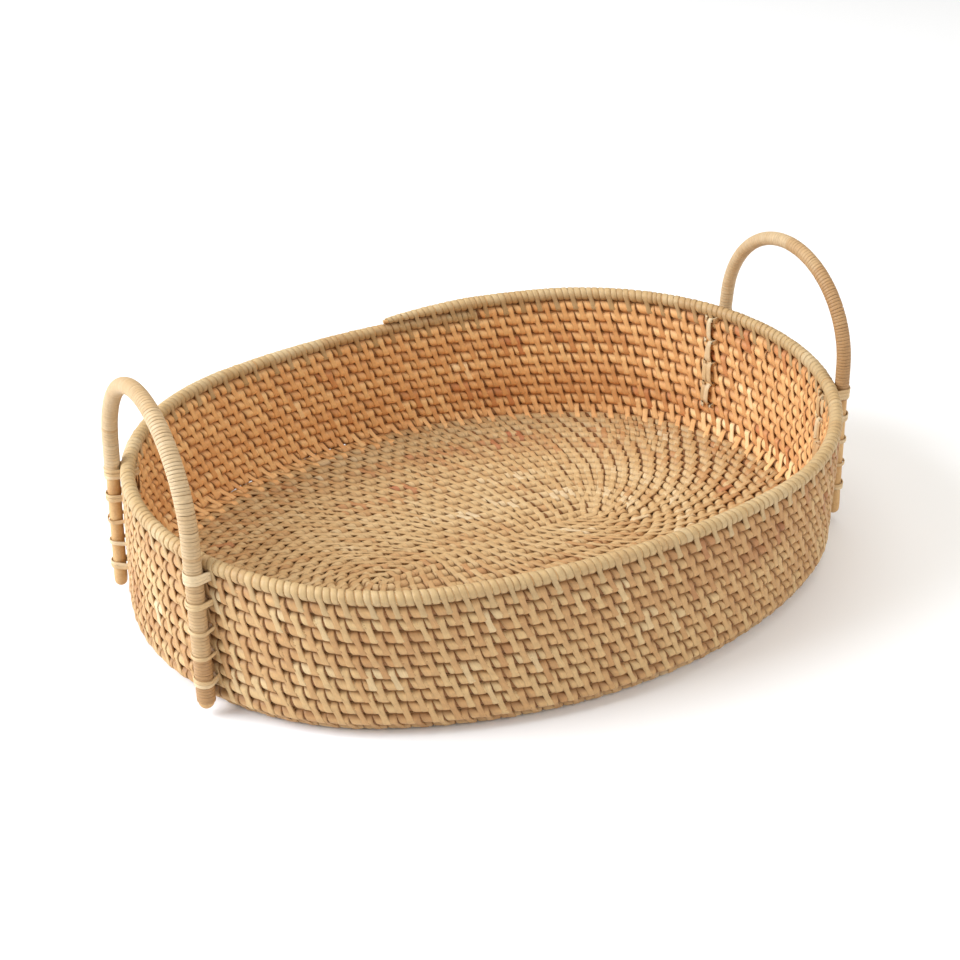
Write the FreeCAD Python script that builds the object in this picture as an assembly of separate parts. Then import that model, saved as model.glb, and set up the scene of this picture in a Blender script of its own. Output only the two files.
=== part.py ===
"""Oval coiled-rattan serving tray with two hoop handles. All lengths are in millimetres.

One long cane is laid in an oval spiral for the base, turns up through a rounded corner and climbs as a
helix to make the wall; its shaved-down end lies on top of the rim at the rear. Every turn is bound with
narrow peel. Two bent hoop handles stand on the outside of the long ends and are lashed through the wall.

Axes: +X along the tray (towards the right-hand handle), +Y to the rear, +Z up. The origin is on the table,
under the middle of the tray.
"""
import FreeCAD, Part
import math
import os

Vector = FreeCAD.Vector
UP = Vector(0, 0, 1)

DIMENSIONS = [
    # alias, value, what it is
    ("start_half_length", 78.0, "half the length of the straight run that the base spiral starts from"),
    ("flat_turns", 19.0, "turns of the spiral that lie flat"),
    ("base_half_length", 222.0, "centreline half length where the flat base ends"),
    ("base_half_width", 160.0, "centreline half width where the flat base ends"),
    ("base_side_bow", 20.0, "how far the end arcs' centres stand past a plain stadium at the base's edge"),
    ("corner_radius", 10.0, "centreline radius of the turn-up from base to wall"),
    ("rim_half_length", 230.0, "centreline half length at the rim"),
    ("rim_half_width", 164.5, "centreline half width at the rim"),
    ("rim_side_bow", 8.5, "the same bow at the rim"),
    ("wall_pitch", 8.35, "distance between neighbouring turns in the corner and the wall"),
    ("total_turns", 31.245, "turns from the start of the spiral to the end of the rim"),
    ("wall_turns", 12.0, "how many of those turns make the wall"),
    ("saddle_rise", 2.0, "how much the rim rises at the long ends and drops at the sides"),
    ("base_bound_radius", 3.78, "radius of a base turn over its binding"),
    ("wall_bound_radius", 4.15, "radius of a wall turn over its binding"),
    ("rim_bound_radius", 4.6, "radius of the rim turn over its binding"),
    ("peel_thickness", 0.75, "thickness of the binding on every coil turn"),
    ("first_bend_keep", 0.72, "share of the radius left where the thinned start is first bent back"),
    ("first_bend_run", 0.06, "how far that thinning reaches to each side of the bend, in turns"),
    ("scarf_length", 62.0, "length of the shaved-down end of the rim"),
    ("scarf_end_radius", 2.1, "radius over the binding at the rim's very end"),
    ("hoop_plane", 226.0, "distance of each handle's plane from the tray's middle"),
    ("hoop_radius", 64.5, "centreline radius of a handle's arch"),
    ("hoop_centre_height", 109.0, "height of the arch's centre"),
    ("leg_splay", 3.8, "degrees that each leg leans outwards going down"),
    ("leg_foot_height", 9.6, "height of the centre of a leg's rounded tip"),
    ("left_front_leg_radius", 5.5, "radius over the wrap"),
    ("left_rear_leg_radius", 4.8, "radius over the wrap"),
    ("right_front_leg_radius", 4.8, "radius over the wrap"),
    ("right_rear_leg_radius", 4.5, "radius over the wrap"),
    ("wrap_thickness", 0.8, "thickness of the peel wound round the handle canes"),
    ("strand_width", 2.7, "width of one turn of lashing peel"),
    ("strand_thickness", 0.7, "thickness of the lashing peel"),
    ("pass_thickness", 0.4, "thickness of the lashing where it is squeezed between two turns of the wall"),
]

LASHING_TURNS = (3, 2, 1, 1, 2)     # turns of peel in each of a leg's lashings, from the top
FIRST_LASHING_GAP = 1               # the top lashing goes through the gap just under the rim
LASHING_GAP_STEP = 2                # and the others through every second gap below it
STATION_TURN = math.radians(10.0)   # a coil's sections are at most this far round a bend
STATION_RUN = 30.0                  # and at most this far apart along the coil
TRACE_STEPS = 1440                  # how finely one turn is followed when its sections are placed
HOOP_SECTIONS = 36                  # sections along a handle
TIP_SECTIONS = 5                    # rings that round off each tip
SEAM_TOLERANCES = (1e-3, 1e-4, 1e-2)    # for closing a tube built from separate faces
BASE_CANE_ENDS = (0.0, 4.0, 7.0, 10.0, 12.5, 14.75, 17.0)   # turns at which the base's canes are spliced


def make_sheet(doc):
    """The driving dimensions: alias in column A, value in B, meaning in C."""
    sheet = doc.addObject("Spreadsheet::Sheet", "Dimensions")
    for line, (alias, value, meaning) in enumerate(DIMENSIONS, start=1):
        sheet.set(f"A{line}", alias)
        sheet.set(f"B{line}", str(value))
        sheet.setAlias(f"B{line}", alias)
        sheet.set(f"C{line}", meaning)
    doc.recompute()
    return sheet


# ---------------------------------------------------------------- the oval and the coil's centreline

def oval_arcs(half_length, half_width, bow):
    """A four-arc oval: end-arc centre distance, end radius, side-arc centre distance, side radius."""
    end_centre = half_length - half_width + bow
    side_centre = (end_centre ** 2 - bow ** 2) / (2 * bow)
    return end_centre, half_length - end_centre, side_centre, half_width + side_centre


def oval_point(half_length, half_width, bow, fraction):
    """Point and outward normal at a fraction of the way round, anticlockwise from the +X end."""
    end_centre, end_radius, side_centre, side_radius = oval_arcs(half_length, half_width, bow)
    shoulder = math.atan2(side_centre, end_centre)
    end_run = end_radius * shoulder
    side_run = side_radius * (math.pi / 2 - shoulder)
    quarter, along = divmod(4 * (fraction % 1.0), 1.0)
    backwards = quarter in (1, 3)
    run = (1 - along if backwards else along) * (end_run + side_run)
    if run < end_run:
        angle = run / end_radius
        x = end_centre + end_radius * math.cos(angle)
        y = end_radius * math.sin(angle)
    else:
        angle = shoulder + (run - end_run) / side_radius
        x = side_radius * math.cos(angle)
        y = side_radius * math.sin(angle) - side_centre
    flip_x = -1 if quarter in (1, 2) else 1
    flip_y = -1 if quarter in (2, 3) else 1
    return (x * flip_x, y * flip_y), (math.cos(angle) * flip_x, math.sin(angle) * flip_y)


class Coil:
    """Centreline, radius and section frames of the one long coil, by turns from its start."""

    def __init__(self, dims):
        self.dims = dims
        wall_rise = dims.rim_half_width - dims.base_half_width - dims.corner_radius
        corner_run = dims.corner_radius * math.pi / 2
        self.straight_run = (dims.total_turns - dims.flat_turns) * dims.wall_pitch - corner_run
        self.lean = math.atan2(wall_rise, self.straight_run)
        self.corner_angle = math.pi / 2 - self.lean
        self.corner_run = dims.corner_radius * self.corner_angle
        self.straight_run = (dims.total_turns - dims.flat_turns) * dims.wall_pitch - self.corner_run

    def bound_radius(self, turn):
        """Radius over the binding: thinned at the first bend, thickest at the rim, shaved down at its end."""
        dims = self.dims
        rim_start = dims.total_turns - 1
        if turn < 1:
            nearness = math.exp(-((turn - 0.5) / dims.first_bend_run) ** 2)
            return dims.base_bound_radius * (1 - (1 - dims.first_bend_keep) * nearness)
        if turn < rim_start:
            share = min(max((turn - dims.flat_turns) / 2, 0), 1)
            return dims.base_bound_radius + share * (dims.wall_bound_radius - dims.base_bound_radius)
        swell = min((turn - rim_start) / 0.12, 1)
        radius = dims.wall_bound_radius + swell * (dims.rim_bound_radius - dims.wall_bound_radius)
        scarf_turns = dims.scarf_length / self.rim_length()
        left = max(dims.total_turns - turn, 0) / scarf_turns
        if left < 1:
            radius = dims.scarf_end_radius + (radius - dims.scarf_end_radius) * left ** 0.7
        return radius

    def rim_length(self):
        end_centre, end_radius, side_centre, side_radius = oval_arcs(
            self.dims.rim_half_length, self.dims.rim_half_width, self.dims.rim_side_bow)
        shoulder = math.atan2(side_centre, end_centre)
        return 4 * (end_radius * shoulder + side_radius * (math.pi / 2 - shoulder))

    def centre(self, turn):
        """Centreline point and outward plan normal."""
        dims = self.dims
        if turn <= dims.flat_turns:
            share = turn / dims.flat_turns
            half_width = dims.base_half_width * share
            half_length = dims.start_half_length + (dims.base_half_length - dims.start_half_length) * share
            bow = dims.base_side_bow * share
            height = 0.0
        else:
            run = (turn - dims.flat_turns) * dims.wall_pitch
            around = min(run, self.corner_run) / dims.corner_radius
            up_run = max(run - self.corner_run, 0)
            rise = up_run / self.straight_run
            out = dims.corner_radius * math.sin(around)
            corner_out = dims.corner_radius * math.sin(self.corner_angle)
            half_width = dims.base_half_width + out + up_run * math.sin(self.lean)
            end_lean = dims.rim_half_length - dims.base_half_length - corner_out
            half_length = dims.base_half_length + out + end_lean * rise
            bow = dims.base_side_bow + (dims.rim_side_bow - dims.base_side_bow) * rise
            height = dims.corner_radius * (1 - math.cos(around)) + up_run * math.cos(self.lean)
        (x, y), normal = oval_point(half_length, max(half_width, 0.01), max(bow, 0.001), turn)
        full_height = dims.corner_radius + self.straight_run
        saddle = dims.saddle_rise * (normal[0] ** 2 - normal[1] ** 2) * min(height / full_height, 1)
        radius = self.bound_radius(turn)
        seat = radius - dims.wall_bound_radius if turn > dims.total_turns - 1 else 0.0
        z = self.floor_radius(turn) + height + saddle + seat
        return Vector(x, y, z), Vector(normal[0], normal[1], 0)

    def floor_radius(self, turn):
        """The flat turns rest on the table; a wall turn keeps the height of the last flat one."""
        return self.bound_radius(min(turn, self.dims.flat_turns))

    def stations(self, first, last):
        """Turns at which the coil gets a section: closer together where it bends more."""
        steps = max(int(round((last - first) * TRACE_STEPS)), 2)
        marks = [first]
        turned = 0.0
        run = 0.0
        here = self.centre(first)[0]
        heading = None
        for step in range(1, steps + 1):
            turn = first + (last - first) * step / steps
            there = self.centre(turn)[0]
            chord = there - here
            run += chord.Length
            if heading is not None and chord.Length > 0 and heading.Length > 0:
                turned += heading.getAngle(chord)
            heading = chord
            here = there
            if turned >= STATION_TURN or run >= STATION_RUN:
                marks.append(turn)
                turned = 0.0
                run = 0.0
        if (last - marks[-1]) * self.rim_length() < 6.0 and len(marks) > 2:
            marks.pop()
        marks.append(last)
        return marks

    def heading(self, turn):
        small = 0.0008
        low = max(turn - small, 0.0)
        high = min(turn + small, self.dims.total_turns)
        return (self.centre(high)[0] - self.centre(low)[0]).normalize()


def ring(centre, heading, radius):
    return Part.Wire([Part.Circle(centre, heading, radius).toShape()])


def side_faces(solid):
    """The long faces of a loft, without its two flat ends."""
    return [face for face in solid.Faces if not isinstance(face.Surface, Part.Plane)]


def sleeve_between(outer_rings, inner_rings):
    """A closed tube whose walls are lofts through two sets of rings on the same centreline."""
    faces = side_faces(Part.makeLoft(outer_rings, True, False))
    faces += side_faces(Part.makeLoft(inner_rings, True, False))
    faces += [Part.Face([outer_rings[end], inner_rings[end]]) for end in (0, -1)]
    shell = Part.Shell(faces)
    shell.sewShape()
    solid = Part.Solid(shell)
    solid.fix(*SEAM_TOLERANCES)
    return solid


def add_shape(doc, label, shape):
    feature = doc.addObject("Part::Feature", label)
    feature.Label = label
    feature.Shape = shape
    feature.Placement = shape.Placement
    return feature


def make_coil_length(doc, coil, first, last, name):
    """One length of the coil: its core cane and the peel binding around it."""
    core_rings = []
    bound_rings = []
    for turn in coil.stations(first, last):
        centre = coil.centre(turn)[0]
        heading = coil.heading(turn)
        radius = coil.bound_radius(turn)
        bound_rings.append(ring(centre, heading, radius))
        core_rings.append(ring(centre, heading, radius - coil.dims.peel_thickness))
    core = Part.makeLoft(core_rings, True, False)
    binding = sleeve_between(bound_rings, core_rings)
    return [add_shape(doc, f"{name}_cane", core), add_shape(doc, f"{name}_binding", binding)]


# ---------------------------------------------------------------- handles

class Hoop:
    """A handle's centreline in its own upright plane: foot, leg, arch, leg, foot, by length along it."""

    def __init__(self, dims):
        self.dims = dims
        self.splay = math.radians(dims.leg_splay)
        self.arch_sweep = math.pi - 2 * self.splay
        self.knee_y = dims.hoop_radius * math.cos(self.splay)
        self.knee_z = dims.hoop_centre_height + dims.hoop_radius * math.sin(self.splay)
        self.leg_run = (self.knee_z - dims.leg_foot_height) / math.cos(self.splay)
        self.length = 2 * self.leg_run + dims.hoop_radius * self.arch_sweep

    def leg_y(self, height):
        """Distance of a leg's centreline from the hoop's middle at a height below the knee."""
        return self.knee_y + (self.knee_z - height) * math.tan(self.splay)

    def point(self, run):
        """Point (y, z) and heading (y, z) at a length from the front foot."""
        if run <= self.leg_run:
            back = self.leg_run - run
            y = -self.knee_y - back * math.sin(self.splay)
            z = self.knee_z - back * math.cos(self.splay)
            return (y, z), (math.sin(self.splay), math.cos(self.splay))
        if run <= self.length - self.leg_run:
            angle = math.pi - self.splay - (run - self.leg_run) / self.dims.hoop_radius
            y = self.dims.hoop_radius * math.cos(angle)
            z = self.dims.hoop_centre_height + self.dims.hoop_radius * math.sin(angle)
            return (y, z), (math.sin(angle), -math.cos(angle))
        (y, z), (heading_y, heading_z) = self.point(self.length - run)
        return (-y, z), (heading_y, -heading_z)


def make_handle(doc, hoop, side, front_radius, rear_radius):
    """A bent tapering cane with rounded tips, and the peel wound round it between them."""
    dims = hoop.dims
    plane_x = dims.hoop_plane * (1 if side == "right" else -1)
    core_rings = []
    wrap_rings = []
    for step in range(HOOP_SECTIONS + 1):
        share = step / HOOP_SECTIONS
        (y, z), (heading_y, heading_z) = hoop.point(hoop.length * share)
        centre = Vector(plane_x, y, z)
        heading = Vector(0, heading_y, heading_z)
        radius = front_radius + (rear_radius - front_radius) * share
        wrap_rings.append(ring(centre, heading, radius))
        core_rings.append(ring(centre, heading, radius - dims.wrap_thickness))
    front_tip = rounded_tip(core_rings[0], -1)[::-1]
    rear_tip = rounded_tip(core_rings[-1], 1)
    cane = Part.makeLoft(front_tip + core_rings + rear_tip, True, False)
    wrap = sleeve_between(wrap_rings, core_rings)
    return [add_shape(doc, f"{side}_handle_cane", cane), add_shape(doc, f"{side}_handle_wrap", wrap)]


def rounded_tip(last_ring, way):
    """Shrinking rings that round off a cane beyond its last full ring."""
    circle = last_ring.Edges[0].Curve
    rings = []
    for step in range(1, TIP_SECTIONS + 1):
        angle = math.radians(80.0) * step / TIP_SECTIONS
        centre = circle.Center + circle.Axis * (way * circle.Radius * math.sin(angle))
        rings.append(ring(centre, circle.Axis, circle.Radius * math.cos(angle)))
    return rings


def row_gaps(coil, fraction):
    """Gaps between neighbouring wall turns at a fraction of the way round, from the rim down."""
    dims = coil.dims
    top = math.floor(dims.total_turns - fraction) + fraction
    gaps = []
    turn = top
    while turn - 1 >= dims.total_turns - dims.wall_turns:
        gaps.append((coil.centre(turn)[0] + coil.centre(turn - 1)[0]) * 0.5)
        turn -= 1
    return gaps


def plan_distance(one, other):
    return math.hypot(one.x - other.x, one.y - other.y)


def nearest_fraction(coil, point):
    """Fraction of the way round at which the middle of the wall comes nearest to a point in plan."""
    middle = int(coil.dims.total_turns - coil.dims.wall_turns / 2)
    fractions = [step / 2000 for step in range(2000)]
    return min(fractions, key=lambda fraction: plan_distance(coil.centre(middle + fraction)[0], point))


def lashing_loop(gap, leg, leg_radius, dims, turns):
    """One lashing: peel round the leg, through the wall on both sides of it and across the inside."""
    inward = Vector(gap.x - leg.x, gap.y - leg.y, 0).normalize()
    across = UP.cross(inward)
    strand = dims.strand_thickness
    reach = Vector(gap.x - leg.x, gap.y - leg.y, 0).Length + dims.rim_bound_radius
    wide = dims.strand_width * turns

    def outline(inset):
        radius = leg_radius + inset
        far = reach + inset
        side = across * radius
        start = leg + side
        end = leg - side
        arc = Part.Arc(start, leg - inward * radius, end).toShape()
        runs = [Part.makeLine(end, end + inward * far),
                Part.makeLine(end + inward * far, start + inward * far),
                Part.makeLine(start + inward * far, start)]
        return Part.Wire([arc] + runs)

    band = Part.Face(outline(strand)).cut(Part.Face(outline(0.0)))
    band.translate(Vector(0, 0, -wide / 2))
    loop = band.extrude(UP * wide)
    depth = 2 * dims.wall_bound_radius
    squeeze = Part.makeBox(depth, 4 * leg_radius, 3 * wide)
    squeeze.translate(Vector(-depth / 2, -2 * leg_radius, 0))
    turn = FreeCAD.Rotation(Vector(1, 0, 0), inward)
    for lift in (dims.pass_thickness / 2, -dims.pass_thickness / 2 - 3 * wide):
        block = squeeze.copy()
        seat = FreeCAD.Placement(Vector(gap.x, gap.y, gap.z + lift), turn)
        block.Placement = seat.multiply(block.Placement)
        loop = loop.cut(block)
    return loop


def make_lashings(doc, coil, hoop, side, end):
    """The five lashings of one leg, and the strand that runs down the inside of the wall between them."""
    dims = coil.dims
    plane_x = dims.hoop_plane * (1 if side == "right" else -1)
    sign = -1 if end == "front" else 1
    leg_radius = getattr(dims, f"{side}_{end}_leg_radius")
    middle = Vector(plane_x, sign * hoop.leg_y(60.0), 0)
    fraction = nearest_fraction(coil, middle)
    gaps = row_gaps(coil, fraction)
    loops = []
    used = []
    for number, turns in enumerate(LASHING_TURNS):
        gap = gaps[FIRST_LASHING_GAP - 1 + number * LASHING_GAP_STEP]
        leg = Vector(plane_x, sign * hoop.leg_y(gap.z), gap.z)
        loops.append(lashing_loop(gap, leg, leg_radius, dims, turns))
        used.append(gap)
    lashings = add_shape(doc, f"{side}_{end}_lashings", Part.makeCompound(loops))
    top = used[0]
    foot = used[-1]
    inward = Vector(top.x - plane_x, top.y - sign * hoop.leg_y(top.z), 0).normalize()
    offset = inward * (dims.wall_bound_radius + 1.8 * dims.strand_thickness)
    strand = Part.makeBox(dims.strand_thickness, dims.strand_width, (top - foot).Length)
    strand.translate(Vector(-dims.strand_thickness / 2, -dims.strand_width / 2, 0))
    frame = FreeCAD.Rotation(inward, UP.cross(inward), top - foot, "ZXY")
    strand.Placement = FreeCAD.Placement(foot + offset, frame).multiply(strand.Placement)
    return [lashings, add_shape(doc, f"{side}_{end}_inner_strand", strand)]


# ---------------------------------------------------------------- the model

class Dimensions:
    """Reads the sheet's values by alias."""

    def __init__(self, sheet):
        self.sheet = sheet

    def __getattr__(self, alias):
        return float(self.sheet.get(alias))


def build():
    doc = FreeCAD.newDocument("serving_tray")
    dims = Dimensions(make_sheet(doc))
    coil = Coil(dims)
    hoop = Hoop(dims)
    pieces = []
    wall_start = dims.total_turns - dims.wall_turns
    ends = BASE_CANE_ENDS + (wall_start,)
    for number, (first, last) in enumerate(zip(ends, ends[1:]), start=1):
        pieces += make_coil_length(doc, coil, first, last, f"base_{number:02d}")
    for number in range(1, int(dims.wall_turns)):
        first = wall_start + number - 1
        pieces += make_coil_length(doc, coil, first, first + 1, f"wall_{number:02d}")
    pieces += make_coil_length(doc, coil, dims.total_turns - 1, dims.total_turns, "rim")
    for side in ("left", "right"):
        front_radius = getattr(dims, f"{side}_front_leg_radius")
        rear_radius = getattr(dims, f"{side}_rear_leg_radius")
        pieces += make_handle(doc, hoop, side, front_radius, rear_radius)
        for end in ("front", "rear"):
            pieces += make_lashings(doc, coil, hoop, side, end)
    doc.recompute()
    return doc, pieces


def export(doc, pieces):
    for item in doc.Objects:
        if "Invalid" in item.State or "Error" in item.State:
            raise RuntimeError(f"{item.Label} failed: {item.State}")
    for piece in pieces:
        if piece.Shape.isNull() or not piece.Shape.isValid():
            raise RuntimeError(f"{piece.Label} has no valid shape")
    os.makedirs("parts", exist_ok=True)
    for piece in pieces:
        piece.Shape.exportStep(f"parts/{piece.Label}.step")
        box = piece.Shape.BoundBox
        print(f"{piece.Label:32s} solids {len(piece.Shape.Solids)} volume {piece.Shape.Volume:10.1f}"
              f" z {box.ZMin:6.2f} to {box.ZMax:6.2f}")


document, sub_parts = build()
export(document, sub_parts)
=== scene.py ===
"""Looks of the coiled-rattan serving tray: every stitch of split peel, the wound handles and the lashings."""
import bpy
import math
import numpy as np
from mathutils import Matrix, Vector


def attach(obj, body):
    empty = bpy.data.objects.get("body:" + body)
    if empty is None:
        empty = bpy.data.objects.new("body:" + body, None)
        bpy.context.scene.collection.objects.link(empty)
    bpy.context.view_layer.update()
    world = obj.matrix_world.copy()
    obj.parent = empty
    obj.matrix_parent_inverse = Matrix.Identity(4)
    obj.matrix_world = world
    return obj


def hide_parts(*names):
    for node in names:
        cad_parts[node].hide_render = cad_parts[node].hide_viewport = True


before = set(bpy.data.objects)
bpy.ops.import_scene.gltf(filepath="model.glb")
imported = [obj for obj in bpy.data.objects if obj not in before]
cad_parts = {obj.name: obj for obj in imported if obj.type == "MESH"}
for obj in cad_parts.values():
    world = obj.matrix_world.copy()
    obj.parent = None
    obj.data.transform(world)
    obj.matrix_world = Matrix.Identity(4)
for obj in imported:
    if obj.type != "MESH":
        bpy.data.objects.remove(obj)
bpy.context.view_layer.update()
MM = 0.001
SEED = 7
rng = np.random.default_rng(SEED)

# ------------------------------------------------------------------ the coil, as the frame has it (mm)
START_HALF_LENGTH = 78.0
FLAT_TURNS = 19.0
BASE_HALF_LENGTH = 222.0
BASE_HALF_WIDTH = 160.0
BASE_BOW = 20.0
CORNER_RADIUS = 10.0
RIM_HALF_LENGTH = 230.0
RIM_HALF_WIDTH = 164.5
RIM_BOW = 8.5
PITCH = 8.35
TOTAL_TURNS = 31.245
SADDLE = 2.0
BASE_RADIUS = 3.78
WALL_RADIUS = 4.15
RIM_RADIUS = 4.6
SCARF_LENGTH = 62.0             # over this length the rim's end is shaved down
SCARF_END_RADIUS = 2.1
SCARF_CURVE = 0.7               # power of the shaved end's taper
START_PINCH = 0.28              # share by which the coil's first bend is thinner
START_PINCH_TURN = 0.5
START_PINCH_SPREAD = 0.06
SWELL_TURNS = 0.12              # over these turns the wall's coil swells to the rim's
WALL_START = TOTAL_TURNS - 12
RIM_START = TOTAL_TURNS - 1
GRID = 1440                     # table entries for one turn
SIDE_STEP = 0.001               # turns to each side, for a length per turn


def oval_arcs(half_length, half_width, bow):
    end_centre = half_length - half_width + bow
    side_centre = (end_centre ** 2 - bow ** 2) / (2 * bow)
    return end_centre, half_length - end_centre, side_centre, half_width + side_centre


def oval_points(half_length, half_width, bow, fraction):
    """Points and outward normals at fractions of the way round, anticlockwise from the +X end."""
    end_centre, end_radius, side_centre, side_radius = oval_arcs(half_length, half_width, bow)
    shoulder = np.arctan2(side_centre, end_centre)
    end_run = end_radius * shoulder
    side_run = side_radius * (math.pi / 2 - shoulder)
    quarter, along = np.divmod(4 * (fraction % 1.0), 1.0)
    backwards = (quarter == 1) | (quarter == 3)
    run = np.where(backwards, 1 - along, along) * (end_run + side_run)
    on_end = run < end_run
    angle = np.where(on_end, run / end_radius, shoulder + (run - end_run) / side_radius)
    radius = np.where(on_end, end_radius, side_radius)
    x = radius * np.cos(angle) + np.where(on_end, end_centre, 0.0)
    y = radius * np.sin(angle) - np.where(on_end, 0.0, side_centre)
    flip_x = np.where((quarter == 1) | (quarter == 2), -1.0, 1.0)
    flip_y = np.where(quarter >= 2, -1.0, 1.0)
    return x * flip_x, y * flip_y, np.cos(angle) * flip_x, np.sin(angle) * flip_y


def rim_length():
    end_centre, end_radius, side_centre, side_radius = oval_arcs(RIM_HALF_LENGTH, RIM_HALF_WIDTH, RIM_BOW)
    shoulder = math.atan2(side_centre, end_centre)
    return 4 * (end_radius * shoulder + side_radius * (math.pi / 2 - shoulder))


def bound_radius(turn):
    """Radius of the coil over its binding."""
    nearness = np.exp(-((turn - START_PINCH_TURN) / START_PINCH_SPREAD) ** 2)
    start = BASE_RADIUS * (1 - START_PINCH * nearness)
    share = np.clip((turn - FLAT_TURNS) / 2, 0, 1)
    body = BASE_RADIUS + share * (WALL_RADIUS - BASE_RADIUS)
    swell = np.clip((turn - RIM_START) / SWELL_TURNS, 0, 1)
    rim = WALL_RADIUS + swell * (RIM_RADIUS - WALL_RADIUS)
    left = np.clip((TOTAL_TURNS - turn) * rim_length() / SCARF_LENGTH, 0, 1)
    rim = SCARF_END_RADIUS + (rim - SCARF_END_RADIUS) * left ** SCARF_CURVE
    return np.where(turn < 1, start, np.where(turn < RIM_START, body, rim))


def coil_centre(turn):
    """Centreline points and plan normals."""
    share = turn / FLAT_TURNS
    wall_rise = RIM_HALF_WIDTH - BASE_HALF_WIDTH - CORNER_RADIUS
    straight = (TOTAL_TURNS - FLAT_TURNS) * PITCH - CORNER_RADIUS * math.pi / 2
    lean = math.atan2(wall_rise, straight)
    corner_angle = math.pi / 2 - lean
    straight = (TOTAL_TURNS - FLAT_TURNS) * PITCH - CORNER_RADIUS * corner_angle
    run = np.maximum(turn - FLAT_TURNS, 0) * PITCH
    around = np.minimum(run, CORNER_RADIUS * corner_angle) / CORNER_RADIUS
    up_run = np.maximum(run - CORNER_RADIUS * corner_angle, 0)
    rise = up_run / straight
    out = CORNER_RADIUS * np.sin(around)
    end_lean = RIM_HALF_LENGTH - BASE_HALF_LENGTH - CORNER_RADIUS * math.sin(corner_angle)
    flat = turn <= FLAT_TURNS
    half_width = np.where(flat, BASE_HALF_WIDTH * share, BASE_HALF_WIDTH + out + up_run * math.sin(lean))
    half_length = np.where(flat, START_HALF_LENGTH + (BASE_HALF_LENGTH - START_HALF_LENGTH) * share,
                           BASE_HALF_LENGTH + out + end_lean * rise)
    bow = np.where(flat, BASE_BOW * share, BASE_BOW + (RIM_BOW - BASE_BOW) * rise)
    height = np.where(flat, 0.0, CORNER_RADIUS * (1 - np.cos(around)) + up_run * math.cos(lean))
    x, y, nx, ny = oval_points(half_length, np.maximum(half_width, 0.01), np.maximum(bow, 0.001), turn)
    saddle = SADDLE * (nx ** 2 - ny ** 2) * np.minimum(height / (CORNER_RADIUS + straight), 1)
    seat = np.where(turn > RIM_START, bound_radius(turn) - WALL_RADIUS, 0.0)
    z = bound_radius(np.minimum(turn, FLAT_TURNS)) + height + saddle + seat
    return np.stack([x, y, z], -1)


def unit(vectors):
    return vectors / np.maximum(np.linalg.norm(vectors, axis=-1, keepdims=True), 1e-9)


def neighbour(turn):
    """The place on the turn before that a stitch reaches back to."""
    return np.where(turn < 1, np.maximum(1 - turn, 0), turn - 1)


TURNS = np.arange(int(TOTAL_TURNS * GRID) + 1) / GRID
CENTRES = coil_centre(TURNS)
TANGENTS = unit(np.gradient(CENTRES, axis=0))
RADII = bound_radius(TURNS)
RUN = np.concatenate([[0], np.cumsum(np.linalg.norm(np.diff(CENTRES, axis=0), axis=1))])


def table(values, turn):
    """Values at any turns, from a table over TURNS."""
    place = np.clip(turn * GRID, 0, len(TURNS) - 1.001)
    low = place.astype(int)
    share = place - low
    if values.ndim == 2:
        share = share[..., None]
    return values[low] * (1 - share) + values[low + 1] * share


AWAY = unit(CENTRES - table(CENTRES, neighbour(TURNS)))
AWAY[TURNS < 0.5] = np.array([0.0, 1.0, 0.0])
FACE = unit(np.cross(TANGENTS, AWAY))
AWAY = unit(np.cross(FACE, TANGENTS))


def turn_at(run):
    return np.interp(run, RUN, TURNS)


def run_at(turn):
    return np.interp(turn, TURNS, RUN)


def pace_at(turn):
    """Millimetres along the coil for one turn."""
    return (run_at(turn + SIDE_STEP) - run_at(turn - SIDE_STEP)) / (2 * SIDE_STEP)


# ------------------------------------------------------------------ strips of peel
# Cross-sections: (place across, from -1 to 1; share of the height).
CROWNED = np.array([(-1.0, 0.0), (-0.88, 0.72), (-0.45, 1.0), (0.45, 1.0), (0.88, 0.72), (1.0, 0.0)])
FLATTER = np.array([(-1.0, 0.0), (-0.93, 0.86), (-0.6, 1.0), (0.6, 1.0), (0.93, 0.86), (1.0, 0.0)])


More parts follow.
